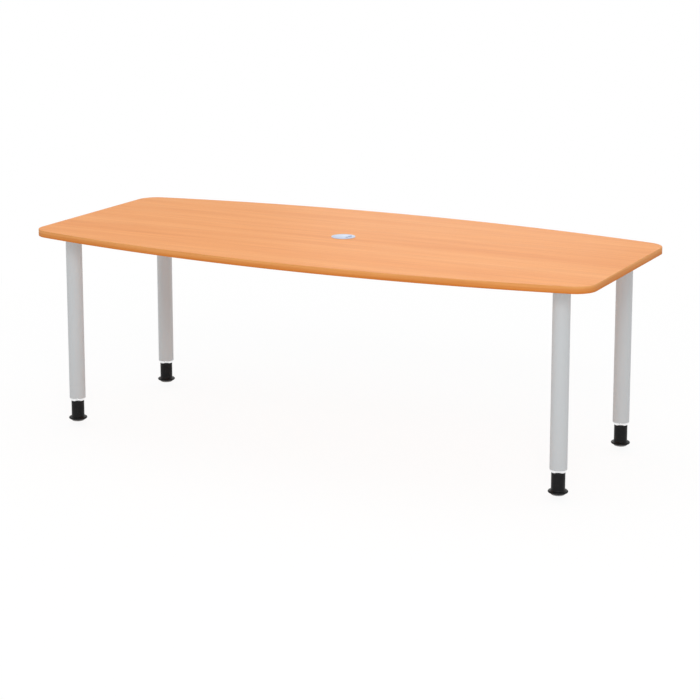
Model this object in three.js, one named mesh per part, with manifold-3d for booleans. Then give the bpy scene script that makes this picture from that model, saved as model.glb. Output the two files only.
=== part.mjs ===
// Boat-shaped conference table on four tubular legs with screw feet.
// Millimetres. +X runs along the table, -Y is its front and +Z is up.
// The origin is on the floor, under the middle of the top.

import * as THREE from 'three';
import { mergeVertices } from 'three/addons/utils/BufferGeometryUtils.js';
import Module from 'manifold-3d';

const wasm = await Module();
wasm.setup();

// Tabletop
const TABLE_HEIGHT = 740;
const TOP_LENGTH = 2200;
const TOP_WIDTH_MIDDLE = 1030;
const TOP_WIDTH_ENDS = 790;
const TOP_CORNER_RADIUS = 80;
const TOP_THICKNESS = 25;
const EDGE_BAND_THICKNESS = 2;

// Legs: tube, plate under the top and the leg's place from the end and from the corner of the top
const LEG_INSET_FROM_END = 128;
const LEG_INSET_FROM_SIDE = 81.5;
const TUBE_DIAMETER = 60;
const TUBE_WALL = 2;
const LEG_PLATE_SIDE = 120;
const LEG_PLATE_THICKNESS = 4;
const LEG_PLATE_CORNER_RADIUS = 12;
const LEG_PLATE_SCREW_SPACING = 90;

// End collar of a leg tube
const COLLAR_LIP_WIDTH = 0.8;
const COLLAR_CHAMFER_HEIGHT = 7;
const COLLAR_BAND_HEIGHT = 3;
const COLLAR_SPIGOT_LENGTH = 20;

// Foot and its travel from the height shown, in towards the tube and out of it
const FOOT_TRAVEL_IN = 60;
const FOOT_TRAVEL_OUT = 20;
const FOOT_SLEEVE_DIAMETER = 48;
const FOOT_SLEEVE_WALL = 3;
const FOOT_GUIDE_LENGTH = 12;
const FOOT_RIM_DIAMETER = 69;
const FOOT_RIM_HEIGHT = 7.6;
const FOOT_RIM_ROUNDING = 4.5;
const FOOT_FLARE_HEIGHT = 4.3;
const FOOT_FLOOR_THICKNESS = 9;
const FOOT_HUB_WALL = 4.5;
const FOOT_HUB_HEIGHT = 26;
const FOOT_PIVOT_WEB = 2.5;

// Glide under the foot
const GLIDE_BASE_DIAMETER = 45;
const GLIDE_TOP_DIAMETER = 59;
const GLIDE_HEIGHT = 6.5;
const GLIDE_PIVOT_DIAMETER = 12;
const GLIDE_PIVOT_LENGTH = 5;

// Height spindle in the foot and its nut in the tube
const SPINDLE_DIAMETER = 16;
const SPINDLE_CHAMFER = 1.5;
const SPINDLE_END_LENGTH = 6;
const NUT_HEIGHT = 25;
const NUT_HEADROOM = 2;

// Rails that keep the top straight between the legs
const RAIL_WIDTH = 40;
const RAIL_HEIGHT = 20;
const RAIL_WALL = 1.5;
const RAIL_PLATE_GAP = 10;
const RAIL_SCREW_INSET = 60;
const RAIL_SCREW_COUNT = 4;

// Pan-head screws into the board
const SCREW_DIAMETER = 5;
const SCREW_LENGTH = 20;
const SCREW_TIP_LENGTH = 3;
const SCREW_HEAD_DIAMETER = 9.5;
const SCREW_HEAD_HEIGHT = 3;
const SCREW_CROWN_DIAMETER = 6.6;
const SCREW_RECESS_DIAMETER = 4;
const SCREW_RECESS_DEPTH = 1.6;

// Cable outlet in the middle of the top
const OUTLET_HOLE_DIAMETER = 80;
const OUTLET_FLANGE_LIP = 4;
const OUTLET_FLANGE_HEIGHT = 2;
const OUTLET_FLANGE_CHAMFER = 0.8;
const OUTLET_SLEEVE_DEPTH = 22;
const OUTLET_WALL = 2;
const OUTLET_LEDGE_WIDTH = 3;
const OUTLET_LEDGE_THICKNESS = 3;
const LID_THICKNESS = 2.5;
const LID_RIM_WIDTH = 6;
const LID_SLOT_WIDTH = 14;
const LID_SLOT_ANGLE = THREE.MathUtils.degToRad(100);
const LID_PIVOT_DIAMETER = 8;
const LID_PIVOT_HEAD_DIAMETER = 12;
const LID_PIVOT_HEAD_HEIGHT = 1.5;
const SHUTTER_THICKNESS = 2;
const SHUTTER_OVERLAP = 2;
const SHUTTER_HUB_DIAMETER = 20;
const SHUTTER_TAB_WIDTH = 3;
const SHUTTER_TAB_GAP = 1;

// Clearances: between seated pieces, and between pieces that turn or slide in each other
const SEAT_GAP = 0.3;
const RUNNING_GAP = 0.5;

// How far a cutting shape runs past the face that it opens
const CUT_OVERRUN = 1;

// Facets on round pieces and on the outline of the top
const LEG_FACETS = 24;
const OUTLET_FACETS = 32;
const SCREW_FACETS = 8;
const RIM_FACETS = 6;
const FLARE_FACETS = 4;
const SIDE_FACETS = 24;
const CORNER_FACETS = 8;
const PLATE_CORNER_FACETS = 4;
const SLOT_FACETS = 10;

// Heights above the floor that several pieces share
const topUnderside = TABLE_HEIGHT - TOP_THICKNESS;
const tubeTop = topUnderside - LEG_PLATE_THICKNESS;
const footUnderside = GLIDE_HEIGHT + SEAT_GAP;
const footRimTop = footUnderside + FOOT_RIM_HEIGHT;
const footFlareTop = footRimTop + FOOT_FLARE_HEIGHT;
const collarBottom = footFlareTop + FOOT_TRAVEL_IN + RUNNING_GAP;
const tubeBottom = collarBottom + COLLAR_CHAMFER_HEIGHT + COLLAR_BAND_HEIGHT;
const collarTop = tubeBottom + COLLAR_SPIGOT_LENGTH;
const footSleeveTop = collarTop + FOOT_TRAVEL_OUT + FOOT_GUIDE_LENGTH;
const nutBottom = footSleeveTop + FOOT_TRAVEL_IN + NUT_HEADROOM;
const nutTop = nutBottom + NUT_HEIGHT;
const pivotHoleTop = GLIDE_HEIGHT + GLIDE_PIVOT_LENGTH + SEAT_GAP;
const spindleSeat = pivotHoleTop + FOOT_PIVOT_WEB;
const spindleTop = nutTop + FOOT_TRAVEL_OUT + SPINDLE_END_LENGTH;

// Radii that several pieces share
const tubeRadius = TUBE_DIAMETER / 2;
const tubeBore = tubeRadius - TUBE_WALL;
const sleeveRadius = FOOT_SLEEVE_DIAMETER / 2;
const spindleRadius = SPINDLE_DIAMETER / 2;
const pivotRadius = GLIDE_PIVOT_DIAMETER / 2;
const screwHoleRadius = SCREW_DIAMETER / 2 + SEAT_GAP;

// Cable outlet levels and radii
const lidTop = TABLE_HEIGHT + OUTLET_FLANGE_HEIGHT;
const lidBottom = lidTop - LID_THICKNESS;
const ledgeTop = lidBottom - SEAT_GAP;
const shutterTop = lidBottom - SEAT_GAP;
const shutterBottom = shutterTop - SHUTTER_THICKNESS;
const outletHoleRadius = OUTLET_HOLE_DIAMETER / 2;
const outletSleeveRadius = outletHoleRadius - SEAT_GAP;
const outletBore = outletSleeveRadius - OUTLET_WALL;
const lidRadius = outletBore - RUNNING_GAP;
const slotOuter = lidRadius - LID_RIM_WIDTH;
const slotInner = slotOuter - LID_SLOT_WIDTH;

// Leg axes and rail length
const legX = TOP_LENGTH / 2 - LEG_INSET_FROM_END;
const legY = TOP_WIDTH_ENDS / 2 - LEG_INSET_FROM_SIDE;
const railLength = 2 * (legX - LEG_PLATE_SIDE / 2 - RAIL_PLATE_GAP);

const CORNERS = [
  { name: 'front_left', x: -legX, y: -legY },
  { name: 'front_right', x: legX, y: -legY },
  { name: 'back_left', x: -legX, y: legY },
  { name: 'back_right', x: legX, y: legY },
];
const SIDES = [
  { name: 'front', y: -legY },
  { name: 'back', y: legY },
];

// Finishes: colour, roughness and metalness
const beechDecor = () => finish(0xf2b07a, 0.5, 0);
const beechBand = () => finish(0xdf9a5e, 0.45, 0);
const silverCoat = () => finish(0xc4c4c6, 0.4, 0.3);
const brightChrome = () => finish(0xeeeeee, 0.12, 1);
const blackPlastic = () => finish(0x1c1c1d, 0.45, 0);
const greyPlastic = () => finish(0x55565a, 0.6, 0);
const bareSteel = () => finish(0xa9abb0, 0.35, 1);
const silverPlastic = () => finish(0xd3d9e2, 0.35, 0.1);

function finish(color, roughness, metalness) {
  return new THREE.MeshStandardMaterial({ color, roughness, metalness });
}

// Points along an arc, both ends included
function arc(centreX, centreY, radius, from, to, steps) {
  return Array.from({ length: steps + 1 }, (_, i) => {
    const angle = from + ((to - from) * i) / steps;
    return new THREE.Vector2(centreX + radius * Math.cos(angle), centreY + radius * Math.sin(angle));
  });
}

// Points round a full circle, without repeating the first
function circle(centreX, centreY, radius, steps) {
  return arc(centreX, centreY, radius, 0, 2 * Math.PI, steps).slice(0, -1);
}

// A flat piece of the given outline and holes between two levels
function slab(outline, holes, bottom, top) {
  const shape = new THREE.Shape(outline);
  shape.holes = holes.map((points) => new THREE.Path(points));
  const geometry = new THREE.ExtrudeGeometry(shape, { depth: top - bottom, bevelEnabled: false });
  return geometry.translate(0, 0, bottom);
}

// A round piece about +Z from a profile of [radius, height], listed anticlockwise
function turned(profile, facets) {
  const points = profile.map(([radius, height]) => new THREE.Vector2(radius, height));
  return new THREE.LatheGeometry(points, facets).rotateX(Math.PI / 2);
}

// A round ring: the profile closes on its first point
function turnedRing(profile, facets) {
  return turned([...profile, profile[0]], facets);
}

// An upright cylinder between two levels
function post(x, y, radius, bottom, top, facets) {
  const geometry = new THREE.CylinderGeometry(radius, radius, top - bottom, facets);
  return geometry.rotateX(Math.PI / 2).translate(x, y, (bottom + top) / 2);
}

function toSolid(geometry) {
  const bare = new THREE.BufferGeometry();
  bare.setAttribute('position', geometry.getAttribute('position'));
  bare.setIndex(geometry.index);
  const merged = mergeVertices(bare);
  const mesh = new wasm.Mesh({
    numProp: 3,
    vertProperties: merged.getAttribute('position').array,
    triVerts: Uint32Array.from(merged.index.array),
  });
  return new wasm.Manifold(mesh);
}

function toGeometry(solid) {
  const { vertProperties, triVerts } = solid.getMesh();
  const geometry = new THREE.BufferGeometry();
  geometry.setAttribute('position', new THREE.BufferAttribute(vertProperties, 3));
  geometry.setIndex(new THREE.BufferAttribute(triVerts, 1));
  geometry.computeVertexNormals();
  return geometry;
}

function cut(geometry, tools) {
  return toGeometry(tools.reduce((solid, tool) => solid.subtract(toSolid(tool)), toSolid(geometry)));
}

function join(geometry, others) {
  return toGeometry(others.reduce((solid, other) => solid.add(toSolid(other)), toSolid(geometry)));
}

function piece(name, geometry, material) {
  const mesh = new THREE.Mesh(geometry, material);
  mesh.name = name;
  return mesh;
}

// Outline of the top, set in by a margin: bowed long sides, straight ends, round corners
function boatOutline(margin) {
  const bow = (TOP_WIDTH_MIDDLE - TOP_WIDTH_ENDS) / 2;
  const sideRadius = (TOP_LENGTH ** 2 / 4 + bow ** 2) / (2 * bow);
  const sideCentre = TOP_WIDTH_MIDDLE / 2 - sideRadius;
  const cornerX = TOP_LENGTH / 2 - TOP_CORNER_RADIUS;
  const cornerReach = Math.sqrt((sideRadius - TOP_CORNER_RADIUS) ** 2 - cornerX ** 2);
  const cornerY = sideCentre + cornerReach;
  const turn = Math.atan2(cornerReach, cornerX);
  const corner = (x, y, from, to) => arc(x, y, TOP_CORNER_RADIUS - margin, from, to, CORNER_FACETS);
  const side = (y, from, to) => arc(0, y, sideRadius - margin, from, to, SIDE_FACETS).slice(1, -1);
  return [
    ...corner(cornerX, cornerY, 0, turn),
    ...side(sideCentre, turn, Math.PI - turn),
    ...corner(-cornerX, cornerY, Math.PI - turn, Math.PI),
    ...corner(-cornerX, -cornerY, Math.PI, Math.PI + turn),
    ...side(-sideCentre, Math.PI + turn, 2 * Math.PI - turn),
    ...corner(cornerX, -cornerY, 2 * Math.PI - turn, 2 * Math.PI),
  ];
}

// Square with round corners about the origin
function roundedSquare(side, radius) {
  const reach = side / 2 - radius;
  const quarters = [[1, 1], [-1, 1], [-1, -1], [1, -1]];
  return quarters.flatMap(([signX, signY], i) => {
    const from = (i * Math.PI) / 2;
    return arc(signX * reach, signY * reach, radius, from, from + Math.PI / 2, PLATE_CORNER_FACETS);
  });
}

// Screw places on one leg plate, about the leg's axis
function plateScrewSpots() {
  const reach = LEG_PLATE_SCREW_SPACING / 2;
  return [[-reach, -reach], [reach, -reach], [-reach, reach], [reach, reach]];
}

// Screw places along one rail
function railScrewSpots() {
  const first = -railLength / 2 + RAIL_SCREW_INSET;
  const step = (-2 * first) / (RAIL_SCREW_COUNT - 1);
  return Array.from({ length: RAIL_SCREW_COUNT }, (_, i) => first + i * step);
}

// Board with the hole for the cable outlet and a blind hole for every screw
function tabletopBoard() {
  const outletHole = circle(0, 0, outletHoleRadius, OUTLET_FACETS);
  const board = slab(boatOutline(EDGE_BAND_THICKNESS), [outletHole], topUnderside, TABLE_HEIGHT);
  const mouth = topUnderside - CUT_OVERRUN;
  const blindHole = (x, y, tip) => post(x, y, screwHoleRadius, mouth, tip + SEAT_GAP, SCREW_FACETS);
  const plateTip = topUnderside - LEG_PLATE_THICKNESS + SCREW_LENGTH;
  const railTip = topUnderside - RAIL_WALL + SCREW_LENGTH;
  const plateHoles = CORNERS.flatMap((leg) =>
    plateScrewSpots().map(([x, y]) => blindHole(leg.x + x, leg.y + y, plateTip)));
  const railHoles = SIDES.flatMap((side) =>
    railScrewSpots().map((x) => blindHole(x, side.y, railTip)));
  return piece('tabletop_board', cut(board, [...plateHoles, ...railHoles]), beechDecor());
}

function edgeBand() {
  const inner = boatOutline(EDGE_BAND_THICKNESS);
  return piece('edge_band', slab(boatOutline(0), [inner], topUnderside, TABLE_HEIGHT), beechBand());
}

// Pan-head screw, pointing up, seated under its head at the local origin
function screw(name, x, y, seat) {
  const shank = SCREW_DIAMETER / 2;
  const head = SCREW_HEAD_DIAMETER / 2;
  const recess = SCREW_RECESS_DIAMETER / 2;
  const geometry = turned([
    [0, -SCREW_HEAD_HEIGHT + SCREW_RECESS_DEPTH],
    [recess, -SCREW_HEAD_HEIGHT],
    [SCREW_CROWN_DIAMETER / 2, -SCREW_HEAD_HEIGHT],
    [head, -SCREW_HEAD_HEIGHT / 2],
    [head, 0],
    [shank, 0],
    [shank, SCREW_LENGTH - SCREW_TIP_LENGTH],
    [0, SCREW_LENGTH],
  ], SCREW_FACETS);
  const mesh = piece(name, geometry, bareSteel());
  mesh.position.set(x, y, seat);
  return mesh;
}

function legPlate(corner) {
  const holes = plateScrewSpots().map(([x, y]) => circle(x, y, screwHoleRadius, SCREW_FACETS));
  const outline = roundedSquare(LEG_PLATE_SIDE, LEG_PLATE_CORNER_RADIUS);
  return piece(`leg_plate_${corner}`, slab(outline, holes, tubeTop, topUnderside), silverCoat());
}

function legTube(corner) {
  const geometry = turnedRing([
    [tubeBore, tubeBottom],
    [tubeRadius, tubeBottom],
    [tubeRadius, tubeTop],
    [tubeBore, tubeTop],
  ], LEG_FACETS);
  return piece(`leg_tube_${corner}`, geometry, silverCoat());
}

// Chamfered ring under the tube, with a spigot inside the tube that guides the foot
function endCollar(corner) {
  const bore = sleeveRadius + RUNNING_GAP;
  const spigot = tubeBore - SEAT_GAP;
  const geometry = turnedRing([
    [bore, collarBottom],
    [bore + COLLAR_LIP_WIDTH, collarBottom],
    [tubeRadius, collarBottom + COLLAR_CHAMFER_HEIGHT],
    [tubeRadius, tubeBottom],
    [spigot, tubeBottom],
    [spigot, collarTop],
    [bore, collarTop],
  ], LEG_FACETS);
  return piece(`end_collar_${corner}`, geometry, brightChrome());
}

function spindleNut(corner) {
  const geometry = turnedRing([
    [spindleRadius + RUNNING_GAP, nutBottom],
    [tubeBore - SEAT_GAP, nutBottom],
    [tubeBore - SEAT_GAP, nutTop],
    [spindleRadius + RUNNING_GAP, nutTop],
  ], LEG_FACETS);
  return piece(`spindle_nut_${corner}`, geometry, greyPlastic());
}

function heightSpindle(corner) {
  const bottom = spindleSeat + SEAT_GAP;
  const geometry = turned([
    [0, bottom],
    [spindleRadius, bottom],
    [spindleRadius, spindleTop - SPINDLE_CHAMFER],
    [spindleRadius - SPINDLE_CHAMFER, spindleTop],
    [0, spindleTop],
  ], LEG_FACETS);
  return piece(`height_spindle_${corner}`, geometry, bareSteel());
}

// Sleeve that flares to a wide, round-edged rim, with a hub inside that holds the spindle
function foot(corner) {
  const flat = FOOT_RIM_DIAMETER / 2 - FOOT_RIM_ROUNDING;
  const halfRim = FOOT_RIM_HEIGHT / 2;
  const rim = Array.from({ length: RIM_FACETS + 1 }, (_, i) => {
    const angle = Math.PI * (i / RIM_FACETS - 0.5);
    return [flat + FOOT_RIM_ROUNDING * Math.cos(angle), footRimTop - halfRim + halfRim * Math.sin(angle)];
  });
  const flareWidth = flat - sleeveRadius;
  const flare = Array.from({ length: FLARE_FACETS }, (_, i) => {
    const angle = (Math.PI / 2) * ((i + 1) / FLARE_FACETS);
    return [flat - flareWidth * Math.sin(angle), footFlareTop - FOOT_FLARE_HEIGHT * Math.cos(angle)];
  });
  const pocket = spindleRadius + SEAT_GAP;
  const hub = pocket + FOOT_HUB_WALL;
  const floor = footUnderside + FOOT_FLOOR_THICKNESS;
  const pivotHole = pivotRadius + RUNNING_GAP;
  const geometry = turned([
    [0, pivotHoleTop],
    [pivotHole, pivotHoleTop],
    [pivotHole, footUnderside],
    ...rim,
    ...flare,
    [sleeveRadius, footSleeveTop],
    [sleeveRadius - FOOT_SLEEVE_WALL, footSleeveTop],
    [sleeveRadius - FOOT_SLEEVE_WALL, floor],
    [hub, floor],
    [hub, floor + FOOT_HUB_HEIGHT],
    [pocket, floor + FOOT_HUB_HEIGHT],
    [pocket, spindleSeat],
    [0, spindleSeat],
  ], LEG_FACETS);
  return piece(`foot_${corner}`, geometry, blackPlastic());
}

// Pad on the floor, with a stud that the foot turns on
function glide(corner) {
  const geometry = turned([
    [0, 0],
    [GLIDE_BASE_DIAMETER / 2, 0],
    [GLIDE_TOP_DIAMETER / 2, GLIDE_HEIGHT],
    [pivotRadius, GLIDE_HEIGHT],
    [pivotRadius, GLIDE_HEIGHT + GLIDE_PIVOT_LENGTH],
    [0, GLIDE_HEIGHT + GLIDE_PIVOT_LENGTH],
  ], LEG_FACETS);
  return piece(`glide_${corner}`, geometry, greyPlastic());
}

function leg(corner) {
  const group = new THREE.Group();
  group.position.set(corner.x, corner.y, 0);
  group.add(
    legPlate(corner.name),
    legTube(corner.name),
    endCollar(corner.name),
    spindleNut(corner.name),
    heightSpindle(corner.name),
    foot(corner.name),
    glide(corner.name),
  );
  plateScrewSpots().forEach(([x, y], i) => {
    group.add(screw(`plate_screw_${corner.name}_${i + 1}`, x, y, tubeTop));
  });
  return group;
}

// Flat rectangular tube along X: each screw goes through its upper wall, past an access hole below
function topRail(side) {
  const bottom = topUnderside - RAIL_HEIGHT;
  const box = (inset) => [
    new THREE.Vector2(-RAIL_WIDTH / 2 + inset, bottom + inset),
    new THREE.Vector2(RAIL_WIDTH / 2 - inset, bottom + inset),
    new THREE.Vector2(RAIL_WIDTH / 2 - inset, topUnderside - inset),
    new THREE.Vector2(-RAIL_WIDTH / 2 + inset, topUnderside - inset),
  ];
  const alongX = new THREE.Matrix4().makeBasis(
    new THREE.Vector3(0, 1, 0),
    new THREE.Vector3(0, 0, 1),
    new THREE.Vector3(1, 0, 0),
  );
  const tube = slab(box(0), [box(RAIL_WALL)], -railLength / 2, railLength / 2).applyMatrix4(alongX);
  const middle = topUnderside - RAIL_HEIGHT / 2;
  const accessRadius = SCREW_HEAD_DIAMETER / 2 + RUNNING_GAP;
  const holes = railScrewSpots().flatMap((x) => [
    post(x, 0, accessRadius, bottom - CUT_OVERRUN, middle, SCREW_FACETS),
    post(x, 0, screwHoleRadius, middle, topUnderside + CUT_OVERRUN, SCREW_FACETS),
  ]);
  const group = new THREE.Group();
  group.position.y = side.y;
  group.add(piece(`top_rail_${side.name}`, cut(tube, holes), silverCoat()));
  railScrewSpots().forEach((x, i) => {
    group.add(screw(`rail_screw_${side.name}_${i + 1}`, x, 0, topUnderside - RAIL_WALL));
  });
  return group;
}

// Ring and sleeve that line the hole, with a ledge for the lid
function outletSleeve() {
  const flange = outletHoleRadius + OUTLET_FLANGE_LIP;
  const ledge = outletBore - OUTLET_LEDGE_WIDTH;
  const bottom = TABLE_HEIGHT - OUTLET_SLEEVE_DEPTH;
  const geometry = turnedRing([
    [outletBore, bottom],
    [outletSleeveRadius, bottom],
    [outletSleeveRadius, TABLE_HEIGHT],
    [flange, TABLE_HEIGHT],
    [flange, lidTop - OUTLET_FLANGE_CHAMFER],
    [flange - OUTLET_FLANGE_CHAMFER, lidTop],
    [outletBore, lidTop],
    [outletBore, ledgeTop],
    [ledge, ledgeTop],
    [ledge, ledgeTop - OUTLET_LEDGE_THICKNESS],
    [outletBore, ledgeTop - OUTLET_LEDGE_THICKNESS],
  ], OUTLET_FACETS);
  return piece('cable_outlet_sleeve', geometry, silverPlastic());
}

// Lid with a curved cable slot towards +X, and a headed pivot under it for the shutter
function outletLid() {
  const half = LID_SLOT_ANGLE / 2;
  const slot = [
    ...arc(0, 0, slotOuter, -half, half, SLOT_FACETS),
    ...arc(0, 0, slotInner, half, -half, SLOT_FACETS),
  ];
  const disc = slab(circle(0, 0, lidRadius, OUTLET_FACETS), [slot], lidBottom, lidTop);
  const middle = (lidBottom + lidTop) / 2;
  const headTop = shutterBottom - SEAT_GAP;
  const headBottom = headTop - LID_PIVOT_HEAD_HEIGHT;
  const pivot = post(0, 0, LID_PIVOT_DIAMETER / 2, headBottom, middle, OUTLET_FACETS);
  const head = post(0, 0, LID_PIVOT_HEAD_DIAMETER / 2, headBottom, headTop, OUTLET_FACETS);
  return piece('cable_outlet_lid', join(disc, [pivot, head]), silverPlastic());
}

// Fan-shaped shutter under the lid's slot, with a tab that stands in the slot's end
function outletShutter() {
  const overlapAngle = SHUTTER_OVERLAP / slotOuter;
  const half = LID_SLOT_ANGLE / 2 + overlapAngle;
  const hub = SHUTTER_HUB_DIAMETER / 2;
  const outline = [
    ...arc(0, 0, slotOuter + SHUTTER_OVERLAP, -half, half, SLOT_FACETS),
    ...arc(0, 0, hub, half, 2 * Math.PI - half, SLOT_FACETS),
  ];
  const pivotHole = circle(0, 0, LID_PIVOT_DIAMETER / 2 + RUNNING_GAP, OUTLET_FACETS);
  const fan = slab(outline, [pivotHole], shutterBottom, shutterTop);
  const tabLength = LID_SLOT_WIDTH - 2 * SHUTTER_TAB_GAP;
  const tabHeight = lidTop - shutterBottom;
  const tabRadius = (slotInner + slotOuter) / 2;
  const tabAngle = -LID_SLOT_ANGLE / 2 + (SHUTTER_TAB_GAP + SHUTTER_TAB_WIDTH / 2) / slotInner;
  const tab = new THREE.BoxGeometry(tabLength, SHUTTER_TAB_WIDTH, tabHeight)
    .translate(tabRadius, 0, shutterBottom + tabHeight / 2)
    .rotateZ(tabAngle);
  return piece('cable_outlet_shutter', join(fan, [tab]), silverPlastic());
}

const table = new THREE.Group();
table.add(tabletopBoard(), edgeBand());
CORNERS.forEach((corner) => table.add(leg(corner)));
SIDES.forEach((side) => table.add(topRail(side)));
table.add(outletSleeve(), outletLid(), outletShutter());

export default table;
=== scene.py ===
import math

import bmesh
import bpy
from mathutils import Matrix, Vector


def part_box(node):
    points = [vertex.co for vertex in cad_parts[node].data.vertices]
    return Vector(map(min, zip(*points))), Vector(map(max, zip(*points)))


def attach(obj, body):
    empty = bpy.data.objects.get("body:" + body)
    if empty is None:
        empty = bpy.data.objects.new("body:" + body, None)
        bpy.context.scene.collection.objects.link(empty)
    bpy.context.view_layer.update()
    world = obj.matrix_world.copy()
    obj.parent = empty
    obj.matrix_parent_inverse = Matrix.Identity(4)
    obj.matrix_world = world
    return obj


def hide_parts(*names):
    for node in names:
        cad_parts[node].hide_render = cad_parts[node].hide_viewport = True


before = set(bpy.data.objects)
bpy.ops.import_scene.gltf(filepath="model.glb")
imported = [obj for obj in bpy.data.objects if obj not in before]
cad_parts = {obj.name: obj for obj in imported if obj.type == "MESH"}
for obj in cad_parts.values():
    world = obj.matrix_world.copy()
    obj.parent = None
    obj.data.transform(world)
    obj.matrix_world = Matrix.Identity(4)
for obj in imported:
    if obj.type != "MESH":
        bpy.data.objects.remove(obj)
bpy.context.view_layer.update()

# Corners, long sides and screws of the table, as the frame names them
CORNERS = ("front_left", "front_right", "back_left", "back_right")
SIDES = ("front", "back")
SCREW_NUMBERS = (1, 2, 3, 4)

# Tabletop, in metres
END_WIDTH = 0.790
TOP_CORNER_RADIUS = 0.080
SIDE_STEPS = 48
CORNER_STEPS = 20
OUTLET_HOLE_RADIUS = 0.040
BAND_ARRIS = 0.0018
BAND_ARRIS_STEPS = 4

# Legs
ROUND_STEPS = 96
TUBE_WALL = 0.002
WELD_SIZE = 0.004
PLATE_CORNER_RADIUS = 0.012
PLATE_CORNER_STEPS = 6
PLATE_ARRIS = 0.0006
COLLAR_CHAMFER_HEIGHT = 0.007
COLLAR_BAND_HEIGHT = 0.003
COLLAR_LIP = 0.0008
COLLAR_ARRIS = 0.0003
SLEEVE_RADIUS = 0.024
SLEEVE_WALL = 0.003
RUNNING_GAP = 0.0005
SEAT_GAP = 0.0003
FOOT_RIM_HEIGHT = 0.0076
FOOT_RIM_ROUNDING = 0.0045
FOOT_RIM_STEPS = 16
FOOT_FLARE_HEIGHT = 0.0043
FOOT_FLARE_STEPS = 8
FOOT_FLOOR_THICKNESS = 0.009
FOOT_HUB_RADIUS = 0.0128
FOOT_HUB_HEIGHT = 0.026
FOOT_POCKET_RADIUS = 0.0083
FOOT_POCKET_SEAT = 0.0143
FOOT_ARRIS = 0.0006
PIVOT_RADIUS = 0.006
PIVOT_LENGTH = 0.005
GLIDE_BASE_RADIUS = 0.0225
GLIDE_HEIGHT = 0.0065
GLIDE_ARRIS = 0.0008

# Rails and screws under the top, with the screw head's curve as shares of its radius and height
RAIL_WALL = 0.0015
RAIL_ARRIS = 0.0025
RAIL_ARRIS_STEPS = 3
RAIL_ACCESS_RADIUS = 0.00525
RAIL_ACCESS_STEPS = 48
SCREW_STEPS = 24
SCREW_SHANK_RADIUS = 0.0025
SCREW_HEAD_HEIGHT = 0.003
SCREW_CROWN_RADIUS = 0.0033
SCREW_SHOULDER_SHARE = 0.92
SCREW_SHOULDER_RISE = 0.25
SCREW_CHEEK_RISE = 0.6
SCREW_SOCKET_RADIUS = 0.002
SCREW_SOCKET_DEPTH = 0.0016
SCREW_SOCKET_SIDES = 6
SCREW_TIP_LENGTH = 0.005

# Cable outlet
OUTLET_STEPS = 96
OUTLET_SLEEVE_WALL = 0.002
OUTLET_FLANGE_HEIGHT = 0.002
OUTLET_LEDGE_WIDTH = 0.003
OUTLET_LEDGE_THICKNESS = 0.003
OUTLET_ARRIS = 0.0005
OUTLET_ARRIS_STEPS = 3
LID_THICKNESS = 0.0025
LID_RIM = 0.006
SLOT_WIDTH = 0.014
SLOT_ANGLE = math.radians(100)
SLOT_STEPS = 32
LID_PIVOT_RADIUS = 0.004
LID_PIVOT_HEAD_RADIUS = 0.006
LID_PIVOT_HEAD_HEIGHT = 0.0015
SHUTTER_THICKNESS = 0.002
SHUTTER_OVERLAP = 0.002
SHUTTER_HUB_RADIUS = 0.010
SHUTTER_TAB_WIDTH = 0.003
SHUTTER_TAB_GAP = 0.001
OUTLET_SMALL_ARRIS = 0.0003

# Which edges are rounded or shaded as sharp, in degrees, and which faces count as square to an axis
ROUNDED_FROM = 40.0
COLLAR_ROUNDED_FROM = 20.0
GLIDE_ROUNDED_FROM = 30.0
SHADED_SHARP_FROM = 32.0
SQUARE_NORMAL = 0.9
SIDEWAYS_NORMAL = 0.1
MERGE_DISTANCE = 1e-6

# Printed beech: stretch across the grain's run, fineness and tone steps of streaks, lines and flecks
STREAK_STRETCH = 0.05
STREAK_FINENESS = 9.0
STREAK_DETAIL = 4.0
STREAK_TONES = (0.3, 0.5, 0.72)
LINE_STRETCH = 0.012
LINE_FINENESS = 260.0
LINE_DETAIL = 3.0
LINE_TONES = (0.35, 0.6)
FLECK_STRETCH = 0.075
FLECK_FINENESS = 1100.0
FLECK_DETAIL = 1.0
FLECK_TONES = (0.62, 0.72)
FLECK_STRENGTH = 0.55
FLECK_DENT = 0.12
BEECH_SHEEN_FINENESS = 420.0
BEECH_SMOOTHEST = 0.44
BEECH_ROUGHEST = 0.54

# Coats, plating and plastics
FLAKE_TONES = (0.35, 0.65)
COAT_METAL_SHARE = 0.25
COAT_GLOSS = 0.2
COAT_PEEL_FINENESS = 700.0
COAT_PEEL_DENT = 0.15
COAT_ROUGHNESS_SPAN = 0.05
CLOUD_FINENESS = 60.0
CLOUD_DETAIL = 4.0
PLASTIC_ROUGHNESS_SPAN = 0.06
FINISH_LINE_DETAIL = 3.0
SKIN_DETAIL = 2.0
DENT_DEPTH = 0.0002

# The usual span of noise, how rough it is, and an even stretch
NOISE_LOW = 0.3
NOISE_HIGH = 0.7
NOISE_ROUGHNESS = 0.55
EVEN = (1.0, 1.0, 1.0)
WHITE = (1.0, 1.0, 1.0, 1.0)

# Sockets of a colour mix
MIX_SHARE = 0
MIX_FIRST = 6
MIX_SECOND = 7
MIX_RESULT = 2

# Places taken from the frame
band_low, band_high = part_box("edge_band")
board_low, board_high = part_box("tabletop_board")
top_length = band_high.x - band_low.x
top_width = band_high.y - band_low.y
band_thickness = band_high.x - board_high.x


def linear(red, green, blue):
    """A colour given in 0 to 255 steps, as the shaders take it."""
    def channel(value):
        share = value / 255
        return share / 12.92 if share <= 0.04045 else ((share + 0.055) / 1.055) ** 2.4
    return (channel(red), channel(green), channel(blue), 1.0)


def new_material(name):
    """A material with its principled shader, ready for detail."""
    material = bpy.data.materials.new(name)
    material.use_nodes = True
    shader = material.node_tree.nodes["Principled BSDF"]
    return material, material.node_tree, shader


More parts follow.
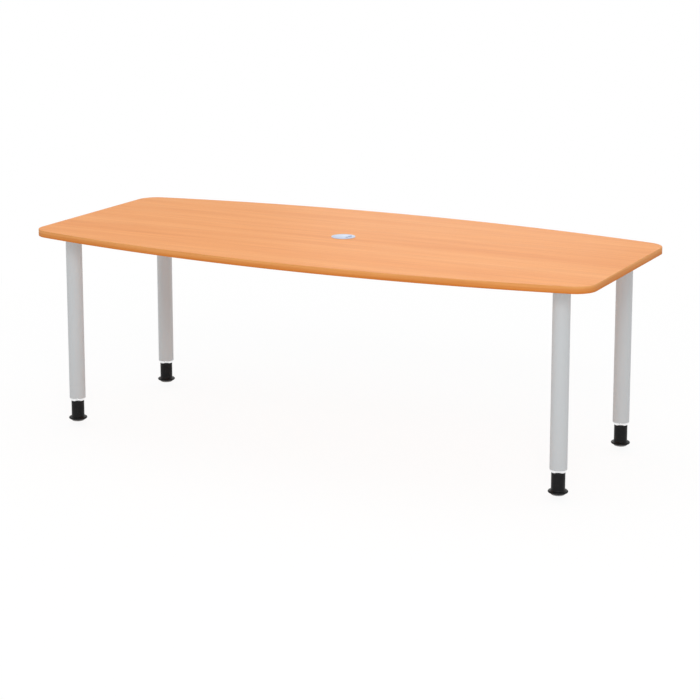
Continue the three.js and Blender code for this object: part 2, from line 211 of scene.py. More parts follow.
def object_grain(tree, stretch, fineness, detail):
    """Noise in the piece's own coordinates, stretched by a scale for each axis."""
    place = tree.nodes.new("ShaderNodeTexCoord")
    mapping = tree.nodes.new("ShaderNodeMapping")
    mapping.inputs["Scale"].default_value = stretch
    noise = tree.nodes.new("ShaderNodeTexNoise")
    noise.inputs["Scale"].default_value = fineness
    noise.inputs["Detail"].default_value = detail
    noise.inputs["Roughness"].default_value = NOISE_ROUGHNESS
    tree.links.new(place.outputs["Object"], mapping.inputs["Vector"])
    tree.links.new(mapping.outputs["Vector"], noise.inputs["Vector"])
    return noise.outputs["Fac"]


def colour_steps(tree, factor, steps):
    """Colours along a factor from 0 to 1."""
    ramp = tree.nodes.new("ShaderNodeValToRGB")
    stops = ramp.color_ramp.elements
    while len(stops) < len(steps):
        stops.new(0.5)
    for stop, (position, colour) in zip(stops, steps):
        stop.position = position
        stop.color = colour
    tree.links.new(factor, ramp.inputs["Fac"])
    return ramp.outputs["Color"]


def spread(tree, factor, low, high, from_low=NOISE_LOW, from_high=NOISE_HIGH):
    """A factor moved from its usual span to another."""
    span = tree.nodes.new("ShaderNodeMapRange")
    span.inputs["From Min"].default_value = from_low
    span.inputs["From Max"].default_value = from_high
    span.inputs["To Min"].default_value = low
    span.inputs["To Max"].default_value = high
    tree.links.new(factor, span.inputs["Value"])
    return span.outputs["Result"]


def stained(tree, colour, stain):
    """One varying colour multiplied by another."""
    mix = tree.nodes.new("ShaderNodeMix")
    mix.data_type = "RGBA"
    mix.blend_type = "MULTIPLY"
    mix.inputs[MIX_SHARE].default_value = 1.0
    tree.links.new(colour, mix.inputs[MIX_FIRST])
    tree.links.new(stain, mix.inputs[MIX_SECOND])
    return mix.outputs[MIX_RESULT]


def painted_shade_below(tree, colour, low, high, painted_shade_colour):
    """A colour darkened towards its lower edge: painted shade, not a tone of the material."""
    place = tree.nodes.new("ShaderNodeTexCoord")
    split = tree.nodes.new("ShaderNodeSeparateXYZ")
    tree.links.new(place.outputs["Object"], split.inputs["Vector"])
    height = spread(tree, split.outputs["Z"], 0.0, 1.0, low, high)
    return stained(tree, colour, colour_steps(tree, height, ((0.0, painted_shade_colour), (1.0, WHITE))))


def dent(tree, shader, height, strength):
    """Bump from a varying height."""
    bump = tree.nodes.new("ShaderNodeBump")
    bump.inputs["Strength"].default_value = strength
    bump.inputs["Distance"].default_value = DENT_DEPTH
    tree.links.new(height, bump.inputs["Height"])
    tree.links.new(bump.outputs["Normal"], shader.inputs["Normal"])


def run_along(axes, stretch):
    """A stretch for each axis that draws a grain out along the named axes."""
    return [stretch if axis in axes else 1.0 for axis in "XYZ"]


def beech(name, along, pale, middle, deep, line, fleck, gloss, painted_lower_shade=None):
    """Printed beech: broad soft streaks, fine lines and short flecks, all running along the named axes,
    with painted shade towards the lower edge when a lower shade is given.
    """
    material, tree, shader = new_material(name)
    streaks = object_grain(tree, run_along(along, STREAK_STRETCH), STREAK_FINENESS, STREAK_DETAIL)
    body = colour_steps(tree, streaks, tuple(zip(STREAK_TONES, (deep, middle, pale))))
    lines = object_grain(tree, run_along(along, LINE_STRETCH), LINE_FINENESS, LINE_DETAIL)
    line_tint = colour_steps(tree, lines, tuple(zip(LINE_TONES, (line, WHITE))))
    flecks = object_grain(tree, run_along(along, FLECK_STRETCH), FLECK_FINENESS, FLECK_DETAIL)
    fleck_share = spread(tree, flecks, 0.0, FLECK_STRENGTH, *FLECK_TONES)
    flecked = tree.nodes.new("ShaderNodeMix")
    flecked.data_type = "RGBA"
    flecked.inputs[MIX_SECOND].default_value = fleck
    tree.links.new(fleck_share, flecked.inputs[MIX_SHARE])
    tree.links.new(stained(tree, body, line_tint), flecked.inputs[MIX_FIRST])
    colour = flecked.outputs[MIX_RESULT]
    # Painted shade: the colour darkens from just below the upper arris down to the band's lower edge
    if painted_lower_shade:
        colour = painted_shade_below(tree, colour, band_low.z, band_high.z - BAND_ARRIS, painted_lower_shade)
    tree.links.new(colour, shader.inputs["Base Color"])
    sheen = object_grain(tree, EVEN, BEECH_SHEEN_FINENESS, SKIN_DETAIL)
    tree.links.new(spread(tree, sheen, BEECH_SMOOTHEST, BEECH_ROUGHEST), shader.inputs["Roughness"])
    shader.inputs["Specular IOR Level"].default_value = gloss
    dent(tree, shader, flecks, FLECK_DENT)
    return material


def coated_metal(name, dark, light, roughness, speckle):
    """Powder coat: a fine orange-peel skin with a metallic speckle."""
    material, tree, shader = new_material(name)
    flakes = object_grain(tree, EVEN, speckle, SKIN_DETAIL)
    colour = colour_steps(tree, flakes, tuple(zip(FLAKE_TONES, (dark, light))))
    tree.links.new(colour, shader.inputs["Base Color"])
    shader.inputs["Metallic"].default_value = COAT_METAL_SHARE
    shader.inputs["Specular IOR Level"].default_value = COAT_GLOSS
    peel = object_grain(tree, EVEN, COAT_PEEL_FINENESS, SKIN_DETAIL)
    smoothest = roughness - COAT_ROUGHNESS_SPAN
    roughest = roughness + COAT_ROUGHNESS_SPAN
    tree.links.new(spread(tree, peel, smoothest, roughest), shader.inputs["Roughness"])
    dent(tree, shader, peel, COAT_PEEL_DENT)
    return material


def bright_metal(name, dark, light, smoothest, roughest, stretch, fineness):
    """Plated or bare metal with fine lines left by its finishing."""
    material, tree, shader = new_material(name)
    lines = object_grain(tree, stretch, fineness, FINISH_LINE_DETAIL)
    colour = colour_steps(tree, lines, ((NOISE_LOW, dark), (NOISE_HIGH, light)))
    tree.links.new(colour, shader.inputs["Base Color"])
    shader.inputs["Metallic"].default_value = 1.0
    tree.links.new(spread(tree, lines, smoothest, roughest), shader.inputs["Roughness"])
    return material


def moulded_plastic(name, dark, light, roughness, grain, grain_dent, gloss=0.5):
    """Moulded plastic with a fine spark-eroded grain and a slow change of tone."""
    material, tree, shader = new_material(name)
    cloud = object_grain(tree, EVEN, CLOUD_FINENESS, CLOUD_DETAIL)
    colour = colour_steps(tree, cloud, ((NOISE_LOW, dark), (NOISE_HIGH, light)))
    tree.links.new(colour, shader.inputs["Base Color"])
    shader.inputs["Specular IOR Level"].default_value = gloss
    skin = object_grain(tree, EVEN, grain, SKIN_DETAIL)
    smoothest = roughness - PLASTIC_ROUGHNESS_SPAN
    roughest = roughness + PLASTIC_ROUGHNESS_SPAN
    tree.links.new(spread(tree, skin, smoothest, roughest), shader.inputs["Roughness"])
    dent(tree, shader, skin, grain_dent)
    return material


beech_top = beech(
    "beech_decor_top", "X",
    pale=linear(243, 168, 99), middle=linear(240, 160, 88), deep=linear(234, 150, 76),
    line=linear(243, 234, 226), fleck=linear(215, 128, 58), gloss=0.2,
)
# Edge band: colours darker than the top's, partly the band's own tone and partly painted shade on its
# upright face; its lower shade is painted shade towards the lower edge
beech_edge = beech(
    "beech_edge_band", "XY",
    pale=linear(227, 169, 110), middle=linear(223, 161, 101), deep=linear(217, 152, 90),
    line=linear(243, 234, 226), fleck=linear(195, 126, 66), gloss=0.05,
    painted_lower_shade=linear(227, 186, 116),
)
silver_coat = coated_metal(
    "silver_powder_coat", dark=linear(181, 184, 186), light=linear(197, 200, 202),
    roughness=0.42, speckle=2600.0,
)
chrome = bright_metal(
    "chrome_collar", dark=linear(232, 233, 235), light=linear(246, 247, 248),
    smoothest=0.10, roughest=0.18, stretch=(1.0, 1.0, 6.0), fineness=300.0,
)
steel = bright_metal(
    "zinc_steel", dark=linear(150, 152, 156), light=linear(200, 202, 205),
    smoothest=0.28, roughest=0.42, stretch=EVEN, fineness=500.0,
)
black_foot = moulded_plastic(
    "black_foot_plastic", dark=linear(12, 12, 13), light=linear(22, 22, 23),
    roughness=0.42, grain=1800.0, grain_dent=0.25, gloss=0.15,
)
grey_glide = moulded_plastic(
    "grey_glide_plastic", dark=linear(104, 104, 104), light=linear(122, 122, 122),
    roughness=0.55, grain=1400.0, grain_dent=0.2,
)
grey_nut = moulded_plastic(
    "grey_nut_plastic", dark=linear(120, 122, 124), light=linear(140, 142, 144),
    roughness=0.5, grain=1400.0, grain_dent=0.2,
)
silver_outlet = moulded_plastic(
    "silver_outlet_plastic", dark=linear(180, 192, 215), light=linear(192, 203, 225),
    roughness=0.36, grain=1600.0, grain_dent=0.1, gloss=0.3,
)


def all_of(bm):
    return bm.verts[:] + bm.edges[:] + bm.faces[:]


def move(bm, x, y, z=0.0):
    bmesh.ops.translate(bm, verts=bm.verts[:], vec=(x, y, z))


def soften(bm, radius, steps=2, sharper_than=ROUNDED_FROM, wanted=None):
    """Rounds the sharp edges, or those of them that are wanted."""
    bmesh.ops.recalc_face_normals(bm, faces=bm.faces[:])
    limit = math.radians(sharper_than)
    edges = [e for e in bm.edges if len(e.link_faces) == 2 and e.calc_face_angle(0.0) > limit]
    if wanted is not None:
        edges = [e for e in edges if wanted(e)]
    bmesh.ops.bevel(
        bm, geom=edges, offset=radius, offset_type="OFFSET", segments=steps, profile=0.5,
        affect="EDGES", clamp_overlap=True, material=-1,
    )


def turn_profile(bm, profile, steps, closed):
    """Spins points of (radius, height) round the Z axis."""
    points = [bm.verts.new((radius, 0.0, height)) for radius, height in profile]
    following = points[1:] + points[:1] if closed else points[1:]
    lines = [bm.edges.new(pair) for pair in zip(points, following)]
    bmesh.ops.spin(
        bm, geom=points + lines, cent=(0, 0, 0), axis=(0, 0, 1), dvec=(0, 0, 0),
        angle=2 * math.pi, steps=steps, use_merge=True, use_normal_flip=False, use_duplicate=False,
    )
    bmesh.ops.remove_doubles(bm, verts=bm.verts[:], dist=MERGE_DISTANCE)


def turned(profile, steps=ROUND_STEPS, closed=True):
    bm = bmesh.new()
    turn_profile(bm, profile, steps, closed)
    return bm


def swept_point(bm, point, centre_x, centre_y, angle, steps):
    """Draws an arc from a point and returns its last point."""
    drawn = bmesh.ops.spin(
        bm, geom=[point], cent=(centre_x, centre_y, point.co.z), axis=(0, 0, 1), dvec=(0, 0, 0),
        angle=angle, steps=steps, use_merge=False, use_normal_flip=False, use_duplicate=False,
    )
    return [item for item in drawn["geom_last"] if isinstance(item, bmesh.types.BMVert)][0]


def mirrored(bm, axis, kept):
    verts = [v for v in bm.verts if v not in kept]
    edges = [e for e in bm.edges if e.verts[0] not in kept and e.verts[1] not in kept]
    bmesh.ops.mirror(
        bm, geom=verts + edges, matrix=Matrix.Identity(4), merge_dist=MERGE_DISTANCE, axis=axis,
    )


def boat_outline(bm, margin, level):
    """Ring of edges round the top, set in by a margin: bowed sides, round corners, straight ends."""
    bow = (top_width - END_WIDTH) / 2
    side_radius = (top_length ** 2 / 4 + bow ** 2) / (2 * bow)
    side_centre = top_width / 2 - side_radius
    corner_x = top_length / 2 - TOP_CORNER_RADIUS
    corner_reach = math.sqrt((side_radius - TOP_CORNER_RADIUS) ** 2 - corner_x ** 2)
    corner_turn = math.atan2(corner_reach, corner_x)
    kept = set(bm.verts)
    point = bm.verts.new((0.0, top_width / 2 - margin, level))
    point = swept_point(bm, point, 0.0, side_centre, corner_turn - math.pi / 2, SIDE_STEPS)
    point = swept_point(bm, point, corner_x, side_centre + corner_reach, -corner_turn, CORNER_STEPS)
    point.co.x = top_length / 2 - margin
    end_middle = bmesh.ops.extrude_vert_indiv(bm, verts=[point])["verts"][0]
    end_middle.co.y = 0.0
    mirrored(bm, "X", kept)
    mirrored(bm, "Y", kept)


def thicken_down(bm, depth):
    """Gives a flat sheet its thickness, downwards."""
    grown = bmesh.ops.extrude_face_region(bm, geom=all_of(bm))
    lowered = [item for item in grown["geom"] if isinstance(item, bmesh.types.BMVert)]
    bmesh.ops.translate(bm, verts=lowered, vec=(0, 0, -depth))
    bmesh.ops.recalc_face_normals(bm, faces=bm.faces[:])


def place(name, bm, material, slot, body, *nodes):
    """Makes a finished piece from a mesh, in the place of its CAD nodes."""
    bmesh.ops.recalc_face_normals(bm, faces=bm.faces[:])
    mesh = bpy.data.meshes.new(name)
    bm.to_mesh(mesh)
    bm.free()
    mesh.polygons.foreach_set("use_smooth", [True] * len(mesh.polygons))
    mesh.set_sharp_from_angle(angle=math.radians(SHADED_SHARP_FROM))
    mesh.materials.append(material)
    piece = bpy.data.objects.new(name, mesh)
    bpy.context.scene.collection.objects.link(piece)
    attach(piece, body)
    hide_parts(*nodes)
    return piece


def make_board():
    bm = bmesh.new()
    boat_outline(bm, band_thickness, board_high.z)
    bmesh.ops.create_circle(
        bm, cap_ends=False, segments=OUTLET_STEPS, radius=OUTLET_HOLE_RADIUS,
        matrix=Matrix.Translation((0, 0, board_high.z)),
    )
    bmesh.ops.triangle_fill(bm, use_beauty=True, use_dissolve=False, edges=bm.edges[:])
    thicken_down(bm, board_high.z - board_low.z)
    place("beech_board", bm, beech_top, "beech_decor", "table", "tabletop_board")


def make_edge_band():
    bm = bmesh.new()
    boat_outline(bm, 0.0, band_high.z)
    boat_outline(bm, band_thickness, band_high.z)
    bmesh.ops.bridge_loops(bm, edges=bm.edges[:])
    thicken_down(bm, band_high.z - band_low.z)

    def outer_arris(edge):
        flat = [f for f in edge.link_faces if abs(f.normal.z) > SQUARE_NORMAL]
        upright = [f for f in edge.link_faces if abs(f.normal.z) < SIDEWAYS_NORMAL]
        if not flat or not upright:
            return False
        middle = (edge.verts[0].co + edge.verts[1].co) / 2
        return upright[0].normal.x * middle.x + upright[0].normal.y * middle.y > 0

    soften(bm, BAND_ARRIS, BAND_ARRIS_STEPS, wanted=outer_arris)
    place("beech_edge", bm, beech_edge, "beech_band", "table", "edge_band")


def leg_axis(corner):
    low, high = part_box("leg_tube_" + corner)
    middle = (low + high) / 2
    return middle.x, middle.y


def make_leg_tube(corner):
    low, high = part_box("leg_tube_" + corner)
    radius = (high.x - low.x) / 2
    bore = radius - TUBE_WALL
    bm = turned((
        (bore, low.z),
        (radius, low.z),
        (radius, high.z - WELD_SIZE),
        (radius + WELD_SIZE, high.z),
        (bore, high.z),
    ))
    soften(bm, COLLAR_ARRIS)
    move(bm, *leg_axis(corner))
    place(corner + "_tube", bm, silver_coat, "silver_coat", "table", "leg_tube_" + corner)


def make_leg_plate(corner):
    low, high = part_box("leg_plate_" + corner)
    bm = bmesh.new()
    bmesh.ops.create_cube(bm, size=1.0)
    bmesh.ops.scale(bm, verts=bm.verts[:], vec=high - low)

    def upright(edge):
        return abs(edge.verts[0].co.z - edge.verts[1].co.z) > (high.z - low.z) / 2

    soften(bm, PLATE_CORNER_RADIUS, PLATE_CORNER_STEPS, wanted=upright)
    soften(bm, PLATE_ARRIS)
    move(bm, *((low + high) / 2))
    place(corner + "_plate", bm, silver_coat, "silver_coat", "table", "leg_plate_" + corner)


def make_collar(corner):
    low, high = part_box("end_collar_" + corner)
    radius = (high.x - low.x) / 2
    bore = SLEEVE_RADIUS + RUNNING_GAP
    spigot = radius - TUBE_WALL - SEAT_GAP
    shoulder = low.z + COLLAR_CHAMFER_HEIGHT + COLLAR_BAND_HEIGHT
    bm = turned((
        (bore, low.z),
        (bore + COLLAR_LIP, low.z),
        (radius, low.z + COLLAR_CHAMFER_HEIGHT),
        (radius, shoulder),
        (spigot, shoulder),
        (spigot, high.z),
        (bore, high.z),
    ))
    soften(bm, COLLAR_ARRIS, sharper_than=COLLAR_ROUNDED_FROM)
    move(bm, *leg_axis(corner))
    place(corner + "_collar", bm, chrome, "bright_chrome", "table", "end_collar_" + corner)


def make_foot(corner):
    low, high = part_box("foot_" + corner)
    flat = (high.x - low.x) / 2 - FOOT_RIM_ROUNDING
    half_rim = FOOT_RIM_HEIGHT / 2
    rim = []
    for step in range(FOOT_RIM_STEPS + 1):
        angle = math.pi * (step / FOOT_RIM_STEPS - 0.5)
        rim.append((
            flat + FOOT_RIM_ROUNDING * math.cos(angle),
            low.z + half_rim + half_rim * math.sin(angle),
        ))
    flare_top = low.z + FOOT_RIM_HEIGHT + FOOT_FLARE_HEIGHT
    flare = []
    for step in range(1, FOOT_FLARE_STEPS + 1):
        angle = math.pi / 2 * step / FOOT_FLARE_STEPS
        flare.append((
            flat - (flat - SLEEVE_RADIUS) * math.sin(angle),
            flare_top - FOOT_FLARE_HEIGHT * math.cos(angle),
        ))
    floor = low.z + FOOT_FLOOR_THICKNESS
    hole_top = GLIDE_HEIGHT + PIVOT_LENGTH + SEAT_GAP
    pivot_hole = PIVOT_RADIUS + RUNNING_GAP
    bm = turned((
        (0.0, hole_top),
        (pivot_hole, hole_top),
        (pivot_hole, low.z),
        *rim,
        *flare,
        (SLEEVE_RADIUS, high.z),
        (SLEEVE_RADIUS - SLEEVE_WALL, high.z),
        (SLEEVE_RADIUS - SLEEVE_WALL, floor),
        (FOOT_HUB_RADIUS, floor),
        (FOOT_HUB_RADIUS, floor + FOOT_HUB_HEIGHT),
        (FOOT_POCKET_RADIUS, floor + FOOT_HUB_HEIGHT),
        (FOOT_POCKET_RADIUS, FOOT_POCKET_SEAT),
        (0.0, FOOT_POCKET_SEAT),
    ), closed=False)
    soften(bm, FOOT_ARRIS)
    move(bm, *leg_axis(corner))
    place(corner + "_foot", bm, black_foot, "black_plastic", corner + "_foot", "foot_" + corner)


def make_glide(corner):
    low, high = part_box("glide_" + corner)
    top_radius = (high.x - low.x) / 2
    bm = turned((
        (0.0, low.z),
        (GLIDE_BASE_RADIUS, low.z),
        (top_radius, low.z + GLIDE_HEIGHT),
        (PIVOT_RADIUS, low.z + GLIDE_HEIGHT),
        (PIVOT_RADIUS, high.z),
        (0.0, high.z),
    ), closed=False)
    soften(bm, GLIDE_ARRIS, sharper_than=GLIDE_ROUNDED_FROM)
    move(bm, *leg_axis(corner))
    place(corner + "_glide", bm, grey_glide, "grey_plastic", corner + "_glide", "glide_" + corner)


def make_screw(name, node):
    """Pan-head screw pointing up, with a hexagon socket in its head."""
    low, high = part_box(node)
    head = (high.x - low.x) / 2
    seat = low.z + SCREW_HEAD_HEIGHT
    bm = turned((
        (SCREW_CROWN_RADIUS, low.z),
        (head * SCREW_SHOULDER_SHARE, low.z + SCREW_HEAD_HEIGHT * SCREW_SHOULDER_RISE),
        (head, low.z + SCREW_HEAD_HEIGHT * SCREW_CHEEK_RISE),
        (head, seat),
        (SCREW_SHANK_RADIUS, seat),
        (SCREW_SHANK_RADIUS, high.z - SCREW_TIP_LENGTH),
        (0.0, high.z),
    ), SCREW_STEPS, closed=False)
    crown = [e for e in bm.edges if e.is_boundary]
    bmesh.ops.create_circle(
        bm, cap_ends=False, segments=SCREW_SOCKET_SIDES, radius=SCREW_SOCKET_RADIUS,
        matrix=Matrix.Translation((0, 0, low.z)),
    )
    socket = [e for e in bm.edges if e.is_wire]
    bmesh.ops.bridge_loops(bm, edges=crown + socket)
    walls = bmesh.ops.extrude_edge_only(bm, edges=socket)["geom"]
    deep = [item for item in walls if isinstance(item, bmesh.types.BMVert)]
    bmesh.ops.translate(bm, verts=deep, vec=(0, 0, SCREW_SOCKET_DEPTH))
    bmesh.ops.holes_fill(bm, edges=[e for e in bm.edges if e.is_boundary], sides=0)
    middle = (low + high) / 2
    move(bm, middle.x, middle.y)
    place(name, bm, steel, "bare_steel", "table", node)


def make_rail(side):
    """Flat rectangular tube with rounded long edges and an access hole under each screw."""
    node = "top_rail_" + side
    low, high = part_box(node)
    bm = bmesh.new()
    bmesh.ops.create_cube(bm, size=1.0)
    bmesh.ops.scale(bm, verts=bm.verts[:], vec=high - low)

    def lengthwise(edge):
        return abs(edge.verts[0].co.x - edge.verts[1].co.x) > (high.x - low.x) / 2

    soften(bm, RAIL_ARRIS, RAIL_ARRIS_STEPS, wanted=lengthwise)
    ends = [f for f in bm.faces if abs(f.normal.x) > SQUARE_NORMAL]
    bmesh.ops.delete(bm, geom=ends, context="FACES")
    bmesh.ops.recalc_face_normals(bm, faces=bm.faces[:])
    bmesh.ops.solidify(bm, geom=bm.faces[:], thickness=RAIL_WALL)
    move(bm, *((low + high) / 2))
    rail = place(side + "_rail", bm, silver_coat, "silver_coat", "table", node)
    drill = bmesh.new()
    for number in SCREW_NUMBERS:
        screw_low, screw_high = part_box(f"rail_screw_{side}_{number}")
        spot = (screw_low + screw_high) / 2
        bmesh.ops.create_cone(
            drill, cap_ends=True, segments=RAIL_ACCESS_STEPS, depth=high.z - low.z,
            radius1=RAIL_ACCESS_RADIUS, radius2=RAIL_ACCESS_RADIUS,
            matrix=Matrix.Translation((spot.x, spot.y, low.z)),
        )
    drill_mesh = bpy.data.meshes.new("rail_drill")
    drill.to_mesh(drill_mesh)
    drill.free()
    drill_piece = bpy.data.objects.new("rail_drill", drill_mesh)
    bpy.context.scene.collection.objects.link(drill_piece)
    holes = rail.modifiers.new("access_holes", "BOOLEAN")
    holes.operation = "DIFFERENCE"
    holes.solver = "EXACT"
    holes.object = drill_piece
    drilled = bpy.data.meshes.new_from_object(rail.evaluated_get(bpy.context.evaluated_depsgraph_get()))
    rail.modifiers.remove(holes)
    rail.data = drilled
    drilled.set_sharp_from_angle(angle=math.radians(SHADED_SHARP_FROM))
    bpy.data.objects.remove(drill_piece)


sleeve_low, sleeve_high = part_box("cable_outlet_sleeve")
lid_low, lid_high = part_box("cable_outlet_lid")
outlet_bore = OUTLET_HOLE_RADIUS - SEAT_GAP - OUTLET_SLEEVE_WALL
lid_radius = (lid_high.x - lid_low.x) / 2
lid_bottom = lid_high.z - LID_THICKNESS
slot_outer = lid_radius - LID_RIM
slot_inner = slot_outer - SLOT_WIDTH
shutter_top = lid_bottom - SEAT_GAP
shutter_bottom = shutter_top - SHUTTER_THICKNESS


def make_outlet_sleeve():
    flange = (sleeve_high.x - sleeve_low.x) / 2
    outside = OUTLET_HOLE_RADIUS - SEAT_GAP
    ledge = outlet_bore - OUTLET_LEDGE_WIDTH
    flange_seat = sleeve_high.z - OUTLET_FLANGE_HEIGHT
    bm = turned((
        (outlet_bore, sleeve_low.z),
        (outside, sleeve_low.z),
        (outside, flange_seat),
        (flange, flange_seat),
        (flange, sleeve_high.z),
        (outlet_bore, sleeve_high.z),
        (outlet_bore, shutter_top),
        (ledge, shutter_top),
        (ledge, shutter_top - OUTLET_LEDGE_THICKNESS),
        (outlet_bore, shutter_top - OUTLET_LEDGE_THICKNESS),
    ), OUTLET_STEPS)
    soften(bm, OUTLET_ARRIS, OUTLET_ARRIS_STEPS)
    place("outlet_ring", bm, silver_outlet, "silver_plastic", "table", "cable_outlet_sleeve")


def fan_ring(bm, outer, inner, half, level):
    """Ring of edges round a curved slot or fan towards +X."""
    first = bm.verts.new((outer * math.cos(half), -outer * math.sin(half), level))
    last = swept_point(bm, first, 0.0, 0.0, 2 * half, SLOT_STEPS)
    back = bm.verts.new((inner * math.cos(half), inner * math.sin(half), level))
    bm.edges.new((last, back))
    return first, back


def make_outlet_lid():
    bm = bmesh.new()
    bmesh.ops.create_circle(
        bm, cap_ends=False, segments=OUTLET_STEPS, radius=lid_radius,
        matrix=Matrix.Translation((0, 0, lid_high.z)),
    )
    first, back = fan_ring(bm, slot_outer, slot_inner, SLOT_ANGLE / 2, lid_high.z)
    last = swept_point(bm, back, 0.0, 0.0, -SLOT_ANGLE, SLOT_STEPS)
    bm.edges.new((last, first))
    bmesh.ops.triangle_fill(bm, use_beauty=True, use_dissolve=False, edges=bm.edges[:])
    thicken_down(bm, LID_THICKNESS)
    soften(bm, OUTLET_SMALL_ARRIS)
    head_top = shutter_bottom - SEAT_GAP
    turn_profile(bm, (
        (0.0, lid_bottom),
        (LID_PIVOT_RADIUS, lid_bottom),
        (LID_PIVOT_RADIUS, head_top),
        (LID_PIVOT_HEAD_RADIUS, head_top),
        (LID_PIVOT_HEAD_RADIUS, head_top - LID_PIVOT_HEAD_HEIGHT),
        (0.0, head_top - LID_PIVOT_HEAD_HEIGHT),
    ), OUTLET_STEPS, closed=False)
    place("outlet_lid_disc", bm, silver_outlet, "silver_plastic", "outlet_lid", "cable_outlet_lid")


def make_outlet_shutter():
    bm = bmesh.new()
    half = SLOT_ANGLE / 2 + SHUTTER_OVERLAP / slot_outer
    first, back = fan_ring(bm, slot_outer + SHUTTER_OVERLAP, SHUTTER_HUB_RADIUS, half, shutter_top)
    last = swept_point(bm, back, 0.0, 0.0, 2 * (math.pi - half), SLOT_STEPS)
    bm.edges.new((last, first))
    bmesh.ops.create_circle(
        bm, cap_ends=False, segments=OUTLET_STEPS, radius=LID_PIVOT_RADIUS + RUNNING_GAP,
        matrix=Matrix.Translation((0, 0, shutter_top)),
    )
    bmesh.ops.triangle_fill(bm, use_beauty=True, use_dissolve=False, edges=bm.edges[:])
    thicken_down(bm, SHUTTER_THICKNESS)
    soften(bm, OUTLET_SMALL_ARRIS)
    tab = bmesh.new()
    bmesh.ops.create_cube(tab, size=1.0)
    tab_size = (SLOT_WIDTH - 2 * SHUTTER_TAB_GAP, SHUTTER_TAB_WIDTH, lid_high.z - shutter_top)
    bmesh.ops.scale(tab, verts=tab.verts[:], vec=tab_size)
    soften(tab, OUTLET_SMALL_ARRIS)
    move(tab, (slot_inner + slot_outer) / 2, 0.0, (lid_high.z + shutter_top) / 2)
    tab_turn = -SLOT_ANGLE / 2 + (SHUTTER_TAB_GAP + SHUTTER_TAB_WIDTH / 2) / slot_inner
    bmesh.ops.rotate(tab, verts=tab.verts[:], cent=(0, 0, 0), matrix=Matrix.Rotation(tab_turn, 3, "Z"))
    tab_mesh = bpy.data.meshes.new("shutter_tab")
    tab.to_mesh(tab_mesh)
    tab.free()
    bm.from_mesh(tab_mesh)
    bpy.data.meshes.remove(tab_mesh)
    place(
        "outlet_shutter_fan", bm, silver_outlet, "silver_plastic", "outlet_shutter",
        "cable_outlet_shutter",
    )


def dress_hidden_node(node, material):
    """A CAD node kept as it is, inside a leg, with its own finish."""
    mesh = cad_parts[node].data
    mesh.materials.clear()
    mesh.materials.append(material)


make_board()
make_edge_band()
for corner in CORNERS:
    make_leg_plate(corner)
    make_leg_tube(corner)
    make_collar(corner)
    make_foot(corner)
    make_glide(corner)
    dress_hidden_node("spindle_nut_" + corner, grey_nut)
    dress_hidden_node("height_spindle_" + corner, steel)
    for number in SCREW_NUMBERS:
        make_screw(f"{corner}_plate_screw_{number}", f"plate_screw_{corner}_{number}")
for side in SIDES:
    make_rail(side)
    for number in SCREW_NUMBERS:
        make_screw(f"{side}_rail_screw_{number}", f"rail_screw_{side}_{number}")
make_outlet_sleeve()
make_outlet_lid()
make_outlet_shutter()


def seen_directly(tree):
    """1 for rays from the camera, mirror rays and rays through glass, 0 for light that falls on things."""
    path = tree.nodes.new("ShaderNodeLightPath")
    seen = tree.nodes.new("ShaderNodeMath")
    seen.operation = "ADD"
    tree.links.new(path.outputs["Is Camera Ray"], seen.inputs[0])
    tree.links.new(path.outputs["Is Glossy Ray"], seen.inputs[1])
    either = tree.nodes.new("ShaderNodeMath")
    either.operation = "ADD"
    either.use_clamp = True
    tree.links.new(seen.outputs[0], either.inputs[0])
    tree.links.new(path.outputs["Is Transmission Ray"], either.inputs[1])
    return either.outputs[0]


# Floor, below the reach of feet screwed right out and fading to white away from the table, and sky
FLOOR_SPAN = 60.0
FLOOR_WHITE_SHARE = 0.9
FLOOR_FADE_START = 1.2
FLOOR_FADE_END = 3.2
FLOOR_DROP = 0.0205
SKY_LIGHT = 0.72

# Lamps: place, what they face, width in metres and watts
OVERHEAD_LAMP = ((0.0, 0.0, 4.5), (0.0, 0.0, 0.7), 3.0, 24.0)
FRONT_LAMP = ((3.3, -6.6, 5.2), (0.0, 0.0, 0.4), 3.0, 245.0)
BACK_LAMP = ((-1.7, 5.1, 1.5), (0.2, 0.2, 0.7), 2.2, 15.0)


def make_floor():
    bm = bmesh.new()
    bmesh.ops.create_grid(bm, x_segments=1, y_segments=1, size=FLOOR_SPAN)
    move(bm, 0.0, 0.0, -FLOOR_DROP)
    mesh = bpy.data.meshes.new("white_floor")
    bm.to_mesh(mesh)
    bm.free()
    material = bpy.data.materials.new("white_floor")
    material.use_nodes = True
    tree = material.node_tree
    tree.nodes.clear()
    lit = tree.nodes.new("ShaderNodeBsdfDiffuse")
    lit.inputs["Color"].default_value = WHITE
    glow = tree.nodes.new("ShaderNodeEmission")
    place_on_floor = tree.nodes.new("ShaderNodeTexCoord")
    distance = tree.nodes.new("ShaderNodeVectorMath")
    distance.operation = "LENGTH"
    tree.links.new(place_on_floor.outputs["Object"], distance.inputs[0])
    whiteness = spread(
        tree, distance.outputs["Value"], FLOOR_WHITE_SHARE, 1.0, FLOOR_FADE_START, FLOOR_FADE_END,
    )
    share = tree.nodes.new("ShaderNodeMath")
    share.operation = "MULTIPLY"
    tree.links.new(seen_directly(tree), share.inputs[0])
    tree.links.new(whiteness, share.inputs[1])
    mix = tree.nodes.new("ShaderNodeMixShader")
    tree.links.new(share.outputs[0], mix.inputs["Fac"])
    tree.links.new(lit.outputs[0], mix.inputs[1])
    tree.links.new(glow.outputs[0], mix.inputs[2])
    end = tree.nodes.new("ShaderNodeOutputMaterial")
    tree.links.new(mix.outputs[0], end.inputs["Surface"])
    mesh.materials.append(material)
    floor = bpy.data.objects.new("white_floor", mesh)
    bpy.context.scene.collection.objects.link(floor)


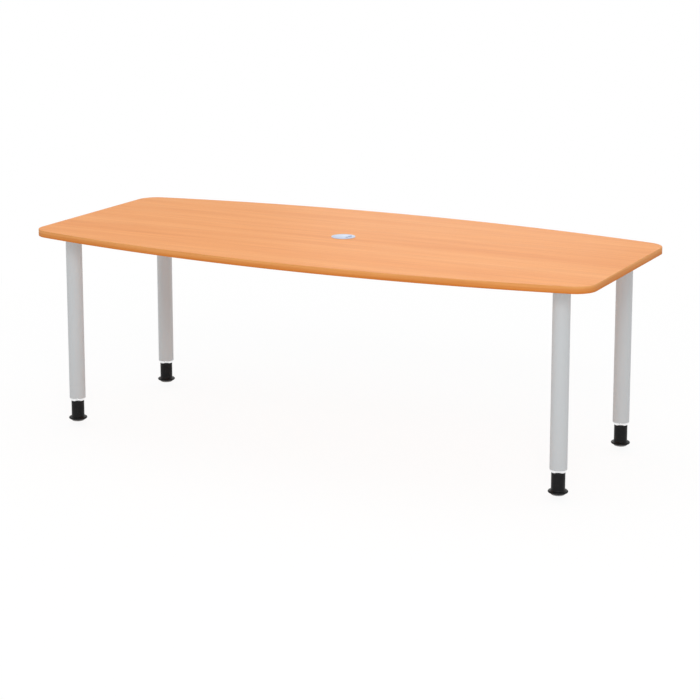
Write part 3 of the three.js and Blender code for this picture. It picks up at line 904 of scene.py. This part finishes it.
def make_sky():
    world = bpy.data.worlds.new("white_studio")
    bpy.context.scene.world = world
    world.use_nodes = True
    tree = world.node_tree
    tree.nodes.clear()
    lighting = tree.nodes.new("ShaderNodeBackground")
    lighting.inputs["Color"].default_value = WHITE
    lighting.inputs["Strength"].default_value = SKY_LIGHT
    shown = tree.nodes.new("ShaderNodeBackground")
    shown.inputs["Color"].default_value = WHITE
    mix = tree.nodes.new("ShaderNodeMixShader")
    tree.links.new(seen_directly(tree), mix.inputs["Fac"])
    tree.links.new(lighting.outputs[0], mix.inputs[1])
    tree.links.new(shown.outputs[0], mix.inputs[2])
    end = tree.nodes.new("ShaderNodeOutputWorld")
    tree.links.new(mix.outputs[0], end.inputs["Surface"])


def make_soft_lamp(name, place_at, aim, size, watts):
    lamp = bpy.data.lights.new(name, "AREA")
    lamp.shape = "SQUARE"
    lamp.size = size
    lamp.energy = watts
    holder = bpy.data.objects.new(name, lamp)
    holder.location = place_at
    away = Vector(place_at) - Vector(aim)
    holder.rotation_euler = away.to_track_quat("Z", "Y").to_euler()
    bpy.context.scene.collection.objects.link(holder)


make_floor()
make_sky()
make_soft_lamp("overhead_softbox", *OVERHEAD_LAMP)
make_soft_lamp("front_softbox", *FRONT_LAMP)
make_soft_lamp("back_softbox", *BACK_LAMP)

# Camera, fitted to the table's outline and legs in the photo: millimetres, metres and degrees
FOCAL_LENGTH = 102.106
SENSOR_WIDTH = 36.0
LENS_SHIFT = -0.2
CAMERA_PLACE = (3.254, -6.331, 2.141)
CAMERA_PITCH_DOWN = 10.36
CAMERA_TURN = 27.006
CAMERA_REACH = 200.0

camera_data = bpy.data.cameras.new("photo_camera")
camera_data.sensor_fit = "HORIZONTAL"
camera_data.sensor_width = SENSOR_WIDTH
camera_data.lens = FOCAL_LENGTH
camera_data.shift_y = LENS_SHIFT
camera_data.clip_end = CAMERA_REACH
camera = bpy.data.objects.new("photo_camera", camera_data)
camera.location = CAMERA_PLACE
camera.rotation_euler = (math.radians(90 - CAMERA_PITCH_DOWN), 0.0, math.radians(CAMERA_TURN))
bpy.context.scene.collection.objects.link(camera)
bpy.context.scene.camera = camera
bpy.context.scene.view_settings.view_transform = "Standard"
